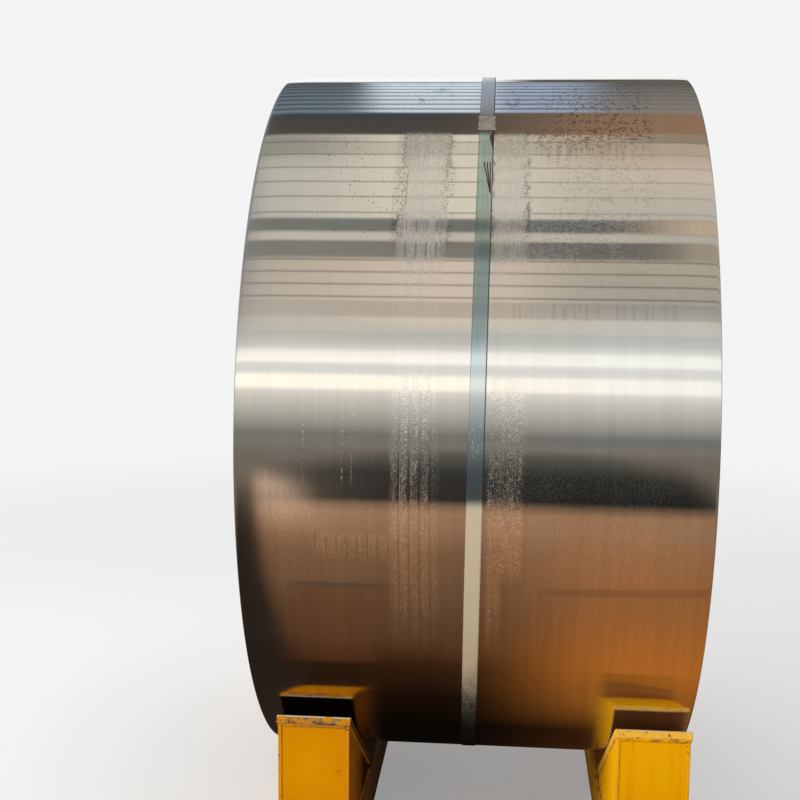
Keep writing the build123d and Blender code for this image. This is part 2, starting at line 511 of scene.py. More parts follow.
def buildCoilMesh():
    look = coilLook
    dice = random.Random(look["seed"])
    half = look["width"] / 2
    right = endProfile(1, dice)
    left = endProfile(-1, dice)
    rim = look["rim"]
    edge = look["radius"] - crown(half - rim) - rim
    turns = [math.pi / 2 * k / look["rimSteps"] for k in range(1, look["rimSteps"] + 1)]
    # from the bore out along the right end, across the rolled face and back in along the left end
    outline = [(radius, half - inward, turnEdges) for radius, inward in right]
    inward = half - right[-1][1] - rim
    for turn in turns:
        outline.append((edge + rim * math.sin(turn), inward + rim * math.cos(turn), rolledFace))
    for along in look["faceRows"]:
        outline.append((look["radius"] - crown(along), along, rolledFace))
    inward = half - left[-1][1] - rim
    for turn in reversed(turns):
        outline.append((edge + rim * math.sin(turn), -inward - rim * math.cos(turn), rolledFace))
    outline += [(radius, inward - half, turnEdges) for radius, inward in reversed(left)]
    tail = math.radians(look["tailAngle"])
    angles = [tail + 2 * math.pi * k / look["segments"] for k in range(look["segments"])]
    angles.append(tail + 2 * math.pi - look["tailGap"])
    count = len(angles)
    vertices = []
    for radius, along, _ in outline:
        for angle in angles:
            share = (angle - tail) / (2 * math.pi)
            # only the outermost turns follow the spiral that ends at the tail
            shrink = look["sheet"] * share if radius > look["radius"] - look["looseDepth"] else 0.0
            reach = -(radius - shrink)
            vertices.append((reach * math.cos(angle), reach * math.sin(angle), along))
    faces = []
    kinds = []
    rows = len(outline)
    for row in range(rows):
        following = (row + 1) % rows
        for k in range(count):
            after = (k + 1) % count
            corners = [(row, k), (following, k), (following, after), (row, after)]
            faces.append([at * count + place for at, place in corners])
            if row == rows - 1:
                kinds.append(boreFace)
            else:
                flat = outline[row][2] == outline[following][2] == turnEdges
                kinds.append(turnEdges if flat else rolledFace)
    mesh = bpy.data.meshes.new("coilBody")
    mesh.from_pydata(vertices, [], faces)
    for face, kind in zip(mesh.polygons, kinds):
        face.material_index = kind
    mesh.validate()
    return turnOutward(mesh)


def aroundCoil(pen):
    # object coordinates of the coil: Z runs along its axis
    place = pen.node("TexCoord", output="Object")
    across, up, along = place.part(0), place.part(1), place.part(2)
    radius = pen.math("SQRT", across * across + up * up)
    turn = pen.math("ARCTAN2", -up, -across)
    return place, along, radius, turn


shellLook = {
    "colour": (0.63, 0.615, 0.585),
    "dull": (0.56, 0.545, 0.52),
    "film": (0.56, 0.535, 0.49),
    "frost": (0.80, 0.79, 0.76),
    "gold": (1.00, 0.92, 0.80),
    "speck": (0.13, 0.11, 0.095),
    "roughness": 0.065,
    "anisotropy": 1.0,
    # middle, half width, soft edge and strength of each stain band round the coil
    "stainBands": [
        (-0.120, 0.054, 0.004, 1.00),
        (0.067, 0.038, 0.009, 0.95),
    ],
    "faintBands": [
        (0.175, 0.075, 0.050, 0.40),
        (0.320, 0.110, 0.060, 0.42),
        (-0.262, 0.060, 0.050, 0.30),
        (-0.385, 0.060, 0.040, 0.55),
    ],
    # how strongly they show: degrees from the top of the coil, then film and flecks
    "stainLevel": [
        (10.0, 0.22), (30.5, 0.20), (31.5, 0.12), (37.0, 0.16), (37.7, 0.88), (44.0, 0.80), (54.0, 0.56),
        (60.5, 0.46), (61.5, 0.34), (67.0, 0.20), (76.0, 0.20), (79.0, 0.62), (82.0, 0.95), (88.0, 0.90),
        (92.5, 0.72), (96.0, 1.0), (107.0, 0.95), (114.0, 0.40), (119.0, 0.0),
    ],
    "columnPitch": 0.0219,
    "strands": (-0.352, -0.270, -0.250),
}


def bandShare(across, bands):
    share = None
    for middle, halfWidth, soft, strength in bands:
        band = (halfWidth - abs(across - middle)).smooth(-soft, soft) * strength
        share = band if share is None else share.most(band)
    return share


def shellMaterial():
    look = shellLook
    material, pen = newMaterial("rolledSteel")
    place, along, _, turn = aroundCoil(pen)
    turn = abs(turn) * (180.0 / math.pi)
    # rolling grain: long round the coil, fine across it
    fine = place.noise((2.5, 2.5, 330.0), 3.0, 0.6)
    broad = place.noise((1.6, 1.6, 46.0), 4.0, 0.6)
    cloud = place.noise((3.2, 3.2, 5.0), 3.0, 0.6)
    patchy = place.noise((16.0, 16.0, 34.0), 4.0, 0.65)
    grain = place.noise((300.0, 300.0, 370.0), 2.0, 0.7)
    coarse = place.noise((120.0, 120.0, 190.0), 2.0, 0.6)
    wrinkle = place.noise((90.0, 90.0, 150.0), 4.0, 0.65)
    threads = place.noise((14.0, 14.0, 520.0), 2.0, 0.6).smooth(0.40, 0.60)
    # stains: bands split into columns, each with its own tone, filled with fine flecks
    drift = (broad - 0.5) * 0.006
    upper = turn.smooth(62.0, 56.0)
    shaky = along + drift + (wrinkle - 0.5) * 0.022 * upper
    narrow = turn.span(43.5, 46.0, 52.0, 53.5) * 0.016
    inside = (abs(along + 0.116) + narrow).smooth(0.062, 0.056).most(along.smooth(-0.01, 0.0))
    stain = bandShare(shaky, look["stainBands"]) * inside
    stain = stain * (1.0 - (along - 0.055).smooth(0.0, 0.012) * turn.smooth(103.0, 107.0))
    faint = bandShare(along + drift * 3.0, look["faintBands"])
    faint = faint * turn.span(86.0, 93.0, 103.0, 112.0).most(turn.span(50.0, 54.0, 60.5, 61.5) * 0.4)
    ghost = turn.near(101.0, 1.2, 2.6) * along.near(-0.25, 0.075, 0.095) * 0.42
    columns = (along + drift * 0.15) / look["columnPitch"]
    border = columns.offMiddle()
    leftBand = along.smooth(0.0, -0.01)
    gap = border.smooth(0.425, 0.480) * (stain * leftBand).most(ghost * 2.5)
    # brightest in the middle of each column and of the whole band
    ridge = (0.30 + 0.70 * border.smooth(0.46, 0.28)) * (0.34 + 0.66 * along.near(-0.120, 0.030, 0.056))
    ridge = leftBand * ridge * (0.7 + 0.3 * threads) + (1.0 - leftBand) * (0.60 + 0.40 * threads)
    ridge = upper * (0.62 + 0.38 * threads) + (1.0 - upper) * ridge
    column = pen.math("FLOOR", columns)
    ownTone = pen.node("TexWhiteNoise", {"noise_dimensions": "1D"}, {"W": column}, "Value")
    stops = [(degrees / 180.0, share) for degrees, share in look["stainLevel"]]
    level = pen.node("ValToRGB", {"stops": stops}, {0: turn / 180.0})
    cover = (cloud * 0.5 + patchy * 0.8).smooth(0.44, 0.78)
    film = stain * level * (0.50 + 0.50 * cover + (ownTone - 0.5) * 0.5 * leftBand) * ridge
    # single sparkling lines beside the bands
    strand = bandShare(along + drift * 0.4, [(middle, 0.0022, 0.001, 1.0) for middle in look["strands"]])
    strand = strand * turn.span(78.0, 84.0, 90.0, 95.0) * coarse.smooth(0.40, 0.55) * 0.45
    seam = along.near(0.037, 0.003, 0.007) * turn.span(88.0, 94.0, 112.0, 119.0)
    flecked = film.most(strand).most(ghost).most(faint * 0.45).most(seam * 0.85) * (1.0 - gap)
    film = film * (1.0 - gap)
    flecks = (grain * 0.75 + coarse * 0.25).smooth(0.48, 0.62)
    # pale flecks over the film: partly real frost, partly painted glints
    sparkle = flecked * flecks * turn.smooth(50.0, 60.0)
    # tide marks: dark winding outlines in and round the film, high up
    tide = place.noise((130.0, 130.0, 210.0), 2.0, 0.6)
    rims = abs(abs(along + 0.121) - 0.052).smooth(0.022, 0.006).most(along.near(0.100, 0.004, 0.016))
    inFilm = stain * (0.20 + 0.5 * turn.smooth(46.0, 40.0))
    tide = tide.near(0.50, 0.016, 0.045) * inFilm.most(rims * patchy.smooth(0.38, 0.50))
    edge = stain.span(0.10, 0.35, 0.55, 0.95) * patchy.smooth(0.46, 0.54) * 0.7
    dark = tide.most(edge) * turn.smooth(36.5, 37.5) * upper
    dark = dark.most(border.smooth(0.40, 0.48) * ghost * 0.7 * wrinkle.smooth(0.36, 0.54))
    # rows of short slip marks near the top at the right
    marks = place.noise((120.0, 120.0, 125.0), 2.0, 0.6)
    tickArea = (along + drift * 6.0).smooth(0.08, 0.20) * along.smooth(0.400, 0.360) * turn.smooth(12.0, 14.0)
    tickArea = tickArea * (0.30 + 0.70 * turn.smooth(40.5, 37.5)) * turn.smooth(74.0, 50.0)
    tickRows = (turn / 2.2).offMiddle().smooth(0.40, 0.16)
    ticks = (marks + tickRows * 0.060 + (patchy - 0.5) * 0.26).smooth(0.590, 0.630) * tickArea
    # pale lace where the dark bands cross the right half
    lace = marks.near(0.5, 0.020, 0.060) * (along + drift * 6.0).smooth(0.06, 0.11) * along.smooth(0.40, 0.30)
    lace = lace * turn.span(54.2, 55.0, 61.0, 62.0) * (0.3 + 0.7 * patchy.smooth(0.40, 0.52))
    blots = (coarse + (patchy - 0.5) * 0.25).smooth(0.66, 0.70) * along.near(-0.26, 0.06, 0.13) * upper
    smears = (patchy + (marks - 0.5) * 0.4).smooth(0.55, 0.64) * stain * turn.span(14.0, 18.0, 30.2, 31.2)
    # drips hanging from the tide line
    comb = (along * 85.0).lineNoise(1.0)
    reach = turn + comb * 9.0 + (marks - 0.5) * 6.0
    drips = reach.smooth(47.6, 45.4) * turn.smooth(37.2, 37.8) * (along + drift * 4.0).smooth(0.08, 0.14)
    drips = drips * (0.25 + 0.75 * marks.smooth(0.44, 0.56)) * along.smooth(0.40, 0.24)
    # a row of short upright smudges further down
    smudges = (comb + (marks - 0.5) * 0.5).smooth(0.52, 0.64)
    smudges = smudges * (turn + (patchy - 0.5) * 3.0).smooth(67.2, 68.0) * turn.smooth(70.2, 69.4)
    smudges = smudges * along.span(0.02, 0.12, 0.40, 0.43)
    drips = drips.most(smudges * 0.30)
    # a few long scratches along the strip
    scratch = place.noise((1.0, 1.0, 700.0), 1.0, 0.5)
    scratch = scratch.smooth(0.73, 0.78) * patchy.smooth(0.46, 0.62)
    matt = film * turn.span(36.5, 37.7, 60.0, 64.0)
    grainShare = 0.30 + 0.70 * turn.smooth(70.0, 96.0)
    colour = (broad.smooth(0.30, 0.70) * grainShare).mix(look["colour"], look["dull"])
    colour = ((fine - 0.35) * 0.4 * grainShare).mix(colour, (0.42, 0.405, 0.38))
    # from about 93 degrees down the flecks are made pale gold: painted glints of the sunlit floor
    golden = turn.smooth(92.5, 96.0)
    colour = (drips * 0.62).mix(colour, (0.27, 0.215, 0.15))
    colour = (matt * 0.85).mix(colour, turn.smooth(48.0, 40.0).mix(look["film"], (0.42, 0.385, 0.33)))
    colour = (flecked * golden * (0.36 + 0.64 * flecks)).mix(colour, (0.99, 0.92, 0.82))
    colour = (sparkle * (0.72 + 0.28 * golden)).mix(colour, golden.mix(look["frost"], look["gold"]))
    colour = (lace * 0.35).mix(colour, look["frost"])
    colour = (turn.smooth(115.5, 119.0) * along.smooth(-0.02, -0.16) * 0.3).mix(colour, (0.36, 0.20, 0.17))
    colour = (scratch * 0.5).mix(colour, (0.80, 0.78, 0.74))
    colour = (dark * 0.85).mix(colour, (0.17, 0.14, 0.115))
    colour = (smears * 0.70).mix(colour, (0.20, 0.24, 0.29))
    colour = (ticks * 0.70).most(blots * 0.65).mix(colour, look["speck"])
    rough = look["roughness"] + (broad - 0.5) * 0.02 + matt * 0.10 + flecked * 0.05
    rough = rough + turn.smooth(111.0, 123.0) * 0.05
    metal = 1.0 - matt * 0.50 - sparkle * (0.38 - 0.30 * golden) - lace * 0.12
    relief = flecked * flecked * turn.smooth(50.0, 60.0) * (1.0 - 0.70 * golden)
    height = fine * 0.6 + broad * 0.4 + (grain * 0.7 + coarse * 0.8) * (relief * 30.0 + matt * 6.0)
    finishMaterial(pen, colour, rough, metal, (height, 0.00004, 0.5), brushed(look["anisotropy"]))
    return material


edgeLook = {
    "dark": (0.050, 0.044, 0.040),
    "brown": (0.135, 0.100, 0.078),
    "light": (0.30, 0.285, 0.265),
    "scratch": (0.62, 0.60, 0.57),
    "roughness": 0.40,
    "anisotropy": 0.65,
}


def edgeMaterial():
    look = edgeLook
    material, pen = newMaterial("coilEdges")
    place, _, radius, turn = aroundCoil(pen)
    turns = (radius * 620.0 + 3.0).lineNoise(2.0)
    bands = (radius * 70.0 + 9.0).lineNoise(4.0)
    broad = (radius * 11.0 + 5.0).lineNoise(3.0)
    smear = place.noise(3.2, 4.0, 0.6)
    arcs = pen.node("CombineXYZ", {}, {0: turn * 1.6, 1: radius * 260.0, 2: 0.0}).noise(1.0, 2.0, 0.6)
    scuffs = place.noise(55.0, 3.0, 0.7).smooth(0.60, 0.68) * place.noise(5.0, 2.0, 0.5).smooth(0.60, 0.68)
    colour = (bands * 1.3 - 0.15).smooth(0.2, 0.8).mix(look["dark"], look["brown"])
    colour = (turns.smooth(0.45, 0.75) * 0.55).mix(colour, look["light"])
    colour = (smear.smooth(0.50, 0.75) * 0.45).mix(colour, look["dark"])
    colour = (broad.smooth(0.55, 0.70) * 0.4).mix(colour, look["light"])
    colour = (arcs.smooth(0.64, 0.70) * 0.5).mix(colour, look["scratch"])
    colour = scuffs.mix(colour, look["scratch"])
    rough = look["roughness"] + (bands - 0.5) * 0.25 + (smear - 0.5) * 0.15
    height = turns + bands * 0.8 + arcs * 0.2
    finishMaterial(pen, colour, rough, 0.9, (height, 0.0005, 0.5), brushed(look["anisotropy"]))
    return material


def boreMaterial():
    material, pen = newMaterial("boreSteel")
    place = pen.node("TexCoord", output="Object")
    streak = place.noise((4.0, 4.0, 90.0), 4.0, 0.6)
    stain = place.noise((6.0, 6.0, 3.0), 4.0, 0.6)
    colour = streak.mix((0.20, 0.185, 0.17), (0.34, 0.32, 0.30))
    colour = (stain.smooth(0.5, 0.7) * 0.7).mix(colour, (0.13, 0.085, 0.06))
    finishMaterial(pen, colour, 0.34 + stain * 0.2, 0.92, (streak, 0.0003, 0.4), brushed(0.5))
    return material


coilTurn = Matrix.Translation(coilCentre) @ Matrix.Rotation(math.pi / 2, 4, "Y")
coil = addPiece(
    "coilBody", buildCoilMesh(), [shellMaterial(), edgeMaterial(), boreMaterial()],
    ["coil"], smooth=False, matrix=coilTurn,
)
for face in coil.data.polygons:
    face.use_smooth = face.material_index != turnEdges
print("coil built")


# strap round the middle, built in the coil's own frame

strapLook = {
    "width": 0.034,
    "thickness": 0.0009,
    "lift": 0.0003,
    "edge": 0.0003,
    "middle": -0.0065,
    "leanTop": 0.011,
    "leanFront": 0.0125,
    "segments": 360,
    "teal": (0.27, 0.36, 0.335),
    "pale": (0.50, 0.53, 0.52),
    "skyReflection": (0.38, 0.47, 0.54),
    "cream": (0.88, 0.73, 0.50),
}


def buildStrapMesh():
    look = strapLook
    half = look["width"] / 2
    low = coilLook["radius"] + look["lift"]
    high = low + look["thickness"]
    edge = look["edge"]
    flat = half - 4 * edge
    section = [
        (-half + edge, low), (half - edge, low), (half, low + edge), (half, high - edge), (half - edge, high),
        (flat, high), (-flat, high), (-half + edge, high), (-half, high - edge), (-half, low + edge),
    ]
    count = look["segments"]
    vertices = []
    for k in range(count):
        # turn from the top towards the front
        turn = 2 * math.pi * k / count
        middle = look["middle"] + look["leanTop"] * math.cos(turn) + look["leanFront"] * math.sin(turn)
        for across, radius in section:
            vertices.append((-radius * math.cos(turn), -radius * math.sin(turn), middle + across))
    mesh = bpy.data.meshes.new("strapBand")
    mesh.from_pydata(vertices, [], ringFaces(count, len(section), closed=True))
    return turnOutward(mesh)


def strapMaterial():
    look = strapLook
    material, pen = newMaterial("strapSteel")
    place, along, _, turn = aroundCoil(pen)
    middle = look["middle"] + look["leanTop"] * pen.math("COSINE", turn)
    middle = middle + look["leanFront"] * pen.math("SINE", turn)
    across = (along - middle) / (look["width"] / 2)
    turn = abs(turn) * (180.0 / math.pi)
    streak = place.noise((4.0, 4.0, 260.0), 3.0, 0.6)
    blotch = place.noise((7.0, 7.0, 26.0), 4.0, 0.65)
    speck = place.noise((150.0, 150.0, 220.0), 3.0, 0.7)
    wander = (blotch - 0.5) * 16.0
    colour = (streak.smooth(0.35, 0.75) * 0.6).mix(look["teal"], (0.46, 0.50, 0.46))
    deep = (turn + wander * 0.2).smooth(59.0, 63.0) * turn.smooth(74.0, 70.0)
    colour = (deep * 0.7).mix(colour, (0.150, 0.270, 0.265))
    bright = streak.mix(look["pale"], (0.56, 0.58, 0.60))
    colour = (turn + wander * 0.3).smooth(71.0, 76.5).mix(colour, bright)
    colour = (blotch.smooth(0.50, 0.66) * 0.2).mix(colour, (0.56, 0.56, 0.52))
    colour = turn.smooth(34.0, 31.0).mix(colour, streak.mix((0.47, 0.46, 0.47), (0.56, 0.55, 0.56)))
    # painted reflection of blue sky, in bands round the strap
    skyReflection = (turn + wander * 0.4).smooth(54.0, 66.0) * 0.35 + (turn + wander * 0.2).smooth(80.0, 86.0) * 0.5
    colour = skyReflection.mix(colour, look["skyReflection"])
    colour = (turn.smooth(83.0, 89.0) * 0.6).mix(colour, (0.44, 0.60, 0.62))
    # painted glints: white flecks in a narrow band near 86 degrees
    flecks = speck.smooth(0.52, 0.60) * turn.near(86.0, 1.0, 3.4) * streak.smooth(0.40, 0.60)
    colour = (flecks * 0.8).mix(colour, (0.92, 0.94, 0.95))
    # painted reflection: the lower front is pale cream, standing in for the sunlit floor it catches, and is
    # made rougher and less metallic there
    pale = turn.smooth(93.6, 95.4) * (turn + wander * 0.5).smooth(140.0, 122.0)
    colour = pale.mix(colour, streak.mix(look["cream"], (0.72, 0.70, 0.52)))
    worn = speck.smooth(0.50, 0.58) * turn.near(126.0, 2.0, 6.0)
    colour = (worn * 0.8).mix(colour, (0.80, 0.66, 0.36))
    # darker brown towards the bottom
    lowerDark = (turn + wander).smooth(118.0, 132.0) * (0.50 + 0.5 * speck.smooth(0.35, 0.6))
    colour = lowerDark.mix(colour, (0.10, 0.072, 0.048))
    scuff = (turn + wander * 0.3).smooth(114.0, 117.0) * turn.smooth(126.0, 122.0) * speck.smooth(0.50, 0.60)
    colour = (scuff * 0.7).mix(colour, (0.80, 0.60, 0.28))
    # painted shadow along both edges, deepest and widest along the right one, and rust clawed into the right
    # one near the top
    edges = (across + (streak - 0.5) * 0.08).smooth(0.80, 0.93).most((-across).smooth(0.90, 0.98) * 0.6)
    edges = edges * (1.0 - 0.6 * pale)
    colour = (edges * 0.85).mix(colour, (0.05, 0.045, 0.04))
    rust = (across - 0.30 - abs(turn - 38.6) * 0.16).smooth(0.0, 0.25)
    for spread in (0.15, 0.085, 0.02):
        claw = abs(across - 0.72 + (50.4 - turn) * spread + (speck - 0.5) * 0.12).smooth(0.11, 0.04)
        rust = rust.most(claw * turn.span(43.8, 44.6, 50.0, 50.6))
    colour = rust.mix(colour, (0.045, 0.020, 0.011))
    rough = 0.13 + (blotch - 0.5) * 0.12 + rust * 0.5 + pale * 0.26 + edges * 0.2
    rough = rough + turn.smooth(34.0, 31.0) * 0.2
    metal = 0.92 - rust * 0.60 - pale * 0.60 - worn * 0.1
    finishMaterial(pen, colour, rough, metal, (streak + speck * 0.4, 0.00003, 0.5), brushed(0.8))
    return material


def sealMaterial():
    material, pen = newMaterial("sealSteel")
    place = pen.node("TexCoord", output="Object")
    mottle = place.noise(90.0, 4.0, 0.7)
    grit = place.noise(380.0, 3.0, 0.6)
    colour = mottle.smooth(0.42, 0.60).mix((0.31, 0.28, 0.235), (0.46, 0.42, 0.36))
    colour = (mottle.smooth(0.62, 0.68) * 0.8).mix(colour, (0.66, 0.64, 0.58))
    colour = (grit.smooth(0.58, 0.68) * 0.35).mix(colour, (0.16, 0.10, 0.07))
    finishMaterial(pen, colour, 0.30 + mottle * 0.2, 0.75, (mottle + grit * 0.5, 0.00012, 0.5))
    return material


addPiece(
    "strapBand", buildStrapMesh(), [strapMaterial()], ["strap"], smooth=True, matrix=coilTurn,
)
dress("strap_seal", sealMaterial())
print("strap built")


# chocks and rails: the chocks' welded plates rebuilt with softened edges, the rails only repainted

chockLook = {
    "slope": 33.4,
    "tip": 0.229,
    "tipHeight": 0.024,
    "wearLength": 0.520,
    "wearWidth": 0.175,
    "wearThickness": 0.020,
    "bodyWidth": 0.168,
    "sideThickness": 0.009,
    "sideNose": 0.003,
    "backThickness": 0.010,
    "backOverhang": 0.007,
    "backRecess": 0.0015,
    "plateThickness": 0.010,
    "plateWidth": 0.172,
    "plateReach": 0.110,
    "plateInset": 0.012,
    "plateSkew": 0.048,
    "railHeight": 0.123,
    # for each kind of plate: softened edge and its steps, length of the cuts along it, depth of the nibbles
    "wearEdge": (0.0018, 3, 0.004, 0.0011),
    "sideEdge": (0.0012, 2, 0.008, 0.0003),
    "backEdge": (0.0006, 2, None, None),
    "baseEdge": (0.0014, 2, 0.008, 0.0006),
    # weld beads: radii and how far they stop short of the side plates' ends
    "topBead": 0.0052,
    "footBead": 0.0042,
    "sideBead": 0.0030,
    "footStops": (0.010, 0.004),
    "slopeStops": (0.020, 0.010),
    "left": -0.365,
    "right": 0.416,
    "seed": 5,
}

slope = math.radians(chockLook["slope"])
baseTop = chockLook["railHeight"] + chockLook["plateThickness"]
tipTop = baseTop + chockLook["tipHeight"]
wearRise = chockLook["wearThickness"] * math.sin(slope)
wearEnd = chockLook["tip"] + chockLook["wearLength"] * math.cos(slope) + wearRise
backFace = wearEnd - chockLook["backOverhang"]
plateEnd = backFace + chockLook["plateReach"]


def underside(y):
    # height of the wear plate's underside at a distance y from the middle
    return tipTop + (y - chockLook["tip"]) * math.tan(slope) - chockLook["wearThickness"] / math.cos(slope)


def sideView(near, far):
    # what stands between the base plate and the wear plate, from one distance to the other
    return [(near, baseTop), (near, underside(near)), (far, underside(far)), (far, baseTop)]


plateLook = {
    "sharpAngle": 0.3,
    "nibbleScales": (210.0, 70.0),
    "nibbleShare": 0.6,
    "nibbleSpared": 0.08,
}


def plateMesh(name, outline, thickness, bevel, segments=2, splits=None, dents=None):
    # outline in local X and Y, thickness along local Z, every edge softened; splits is the length
    # that long edges are cut into, and dents the depth of the nibbles at the points along them
    look = plateLook
    corners = []
    for k, (x, y) in enumerate(outline):
        following = outline[(k + 1) % len(outline)]
        length = math.dist((x, y), following)
        cuts = max(1, round(length / splits)) if splits else 1
        for j in range(cuts):
            share = j / cuts
            corners.append((x + (following[0] - x) * share, y + (following[1] - y) * share))
    shape = bmesh.new()
    face = shape.faces.new([shape.verts.new((x, y, 0.0)) for x, y in corners])
    lifted = bmesh.ops.extrude_face_region(shape, geom=[face])
    moved = [item for item in lifted["geom"] if isinstance(item, bmesh.types.BMVert)]
    bmesh.ops.translate(shape, verts=moved, vec=(0.0, 0.0, thickness))
    bmesh.ops.recalc_face_normals(shape, faces=shape.faces)
    sharp = [edge for edge in shape.edges if edge.calc_face_angle(0.0) > look["sharpAngle"]]
    bmesh.ops.bevel(shape, geom=sharp, offset=bevel, segments=segments, affect="EDGES", clamp_overlap=True)
    if dents:
        middle = Vector((sum(x for x, _ in corners), sum(y for _, y in corners), 0.0)) / len(corners)
        middle.z = thickness / 2
        for vert in shape.verts:
            bite = sum(noise.noise(vert.co * scale) for scale in look["nibbleScales"]) * look["nibbleShare"]
            bite = max(0.0, bite - look["nibbleSpared"]) * dents
            vert.co -= Vector([math.copysign(bite, offset) for offset in vert.co - middle])
    mesh = bpy.data.meshes.new(name)
    shape.to_mesh(mesh)
    shape.free()
    return mesh


def standing(x, side):
    # local X runs outward along the rail, local Y up, local Z across the rail
    return Matrix(((0, 0, -side, x), (side, 0, 0, 0), (0, 1, 0, 0), (0, 0, 0, 1)))


paintLook = {
    "yellow": (0.98, 0.455, 0.0),
    "orange": (0.69, 0.255, 0.0),
    "deep": (0.72, 0.265, 0.0),
    "primer": (0.30, 0.12, 0.045),
    "rust": (0.10, 0.042, 0.018),
    "bare": (0.42, 0.27, 0.12),
    "greaseAndShade": (0.010, 0.008, 0.006),
    "oil": (0.520, 0.215, 0.080),
    "darkBrown": (0.045, 0.026, 0.012),
    "dust": (0.50, 0.20, 0.045),
    "specular": 0.03,
}


def onLeft(world):
    # 1 on the left-hand chocks and rail, 0 on the right-hand ones
    return world.part(0).smooth(0.1, -0.1)


def facing(pen, axis):
    return pen.node("NewGeometry", output="Normal").part(axis)


def finishPaint(pen, colour, rough, bump, metal=0.0):
    finishMaterial(pen, colour, rough, metal, bump, {"Specular IOR Level": paintLook["specular"]})


def plainPaint(pen):
    # sprayed yellow, warmer on the left-hand chocks and lower down
    world = pen.node("NewGeometry", output="Position")
    height = world.part(2)
    brush = world.noise((55.0, 55.0, 3.0), 3.0, 0.55)
    cloud = world.noise(8.0, 4.0, 0.6)
    colour = world.part(0).smooth(-0.3, 0.3).mix(paintLook["orange"], paintLook["yellow"])
    colour = (height.smooth(0.44, 0.10) * 0.55).mix(colour, paintLook["deep"])
    colour = (brush.smooth(0.42, 0.72) * 0.35).mix(colour, paintLook["deep"])
    colour = (cloud.smooth(0.45, 0.70) * 0.20).mix(colour, paintLook["yellow"])
    return world, height, brush, cloud, colour


def backMaterial():
    material, pen = newMaterial("chockPaint")
    world, height, brush, cloud, colour = plainPaint(pen)
    grit = world.noise(150.0, 4.0, 0.65)
    flake = world.noise(70.0, 5.0, 0.7)
    high = height.smooth(0.395, 0.445)
    nicks = (flake + high * 0.05).smooth(0.69, 0.72)
    runs = world.noise((70.0, 70.0, 9.0), 3.0, 0.6).smooth(0.58, 0.70) * high
    colour = (runs * 0.35).mix(colour, paintLook["primer"])
    colour = nicks.mix(colour, paintLook["rust"])
    rough = 0.38 + (cloud - 0.5) * 0.16 + nicks * 0.3
    finishPaint(pen, colour, rough, (brush * 0.3 + grit * 0.15 - nicks, 0.0005, 0.35))
    return material


def cheekMaterial():
    # local Y is the height, local X the distance out, on the side plates
    material, pen = newMaterial("cheekPaint")
    world, height, brush, cloud, colour = plainPaint(pen)
    place = pen.node("TexCoord", output="Object")
    reach, up = place.part(0), place.part(1)
    slopeLine = up - (tipTop - chockLook["wearThickness"] / math.cos(slope))
    below = (reach - chockLook["tip"]) * math.tan(slope) - slopeLine
    grit = world.noise(150.0, 4.0, 0.65)
    flake = world.noise(85.0, 5.0, 0.7)
    smudge = world.noise(11.0, 4.0, 0.65)
    edge = below.smooth(0.040, 0.0).most(reach.smooth(backFace - 0.014, backFace - 0.004) * 0.9)
    low = height.smooth(baseTop + 0.05, baseTop)
    specks = (flake + edge * 0.055 + (smudge - 0.5) * 0.10).smooth(0.665, 0.695)
    grime = (smudge * 0.8 + grit * 0.3 + low * 0.3).smooth(0.62, 0.82)
    across = facing(pen, 0)
    colour = (grime * 0.30).mix(colour, (0.30, 0.13, 0.01))
    colour = (edge * brush.smooth(0.35, 0.60) * 0.12).mix(colour, (0.95, 0.62, 0.16))
    # painted light: the sides that face left are brightened to a clean bright yellow
    colour = (across.smooth(-0.3, -0.9) * 0.85).mix(colour, (1.0, 0.49, 0.002))
    # painted shade: the sides that face right are mottled dark brown, near black further in under the coil
    rightShade = 0.50 + 0.30 * (smudge + (brush - 0.5) * 0.9).smooth(0.35, 0.62) + 0.20 * height.smooth(0.34, 0.44)
    inward = reach.smooth(backFace - 0.10, backFace - 0.30)
    rightShade = across.smooth(0.3, 0.9) * rightShade.most(inward)
    brown = flake.mix((0.34, 0.125, 0.024), (0.16, 0.070, 0.026))
    colour = (rightShade * 0.94).mix(colour, inward.mix(brown, (0.022, 0.012, 0.007)))
    colour = specks.mix(colour, paintLook["rust"])
    rough = 0.40 + (cloud - 0.5) * 0.16 + grime * 0.2 + specks * 0.3
    finishPaint(pen, colour, rough, (brush * 0.3 + grit * 0.2 - specks, 0.0006, 0.45))
    return material


def baseMaterial():
    material, pen = newMaterial("basePaint")
    world, _, _, cloud, colour = plainPaint(pen)
    smear = world.noise((7.0, 2.4, 7.0), 4.0, 0.65)
    flake = world.noise(48.0, 5.0, 0.7)
    grit = world.noise(170.0, 3.0, 0.6)
    tread = world.noise((26.0, 5.0, 26.0), 4.0, 0.7)
    leftHand = onLeft(world)
    dusty = (smear + (cloud - 0.5) * 0.4).smooth(0.34, 0.62)
    colour = (dusty * 0.7).mix(colour, paintLook["dust"])
    colour = (0.62 + 0.30 * smear.smooth(0.3, 0.6)).mix(colour, (0.37, 0.145, 0.040))
    # painted shade at the foot of the back plate; the left-hand base plates are near black-brown all over
    corner = abs(world.part(1)).smooth(backFace + 0.050, backFace + 0.004) * 0.40
    colour = leftHand.most(corner).mix(colour, paintLook["darkBrown"])
    colour = (tread.smooth(0.56, 0.68) * 0.6).mix(colour, (0.085, 0.045, 0.022))
    chips = (flake + (smear - 0.5) * 0.2).smooth(0.64, 0.68) * 0.7
    colour = chips.mix(colour, grit.smooth(0.4, 0.6).mix(paintLook["rust"], paintLook["primer"]))
    rough = 0.46 + (cloud - 0.5) * 0.2 + dusty * 0.2
    finishPaint(pen, colour, rough, (flake * 0.5 + grit * 0.3 - chips, 0.0006, 0.5))
    return material


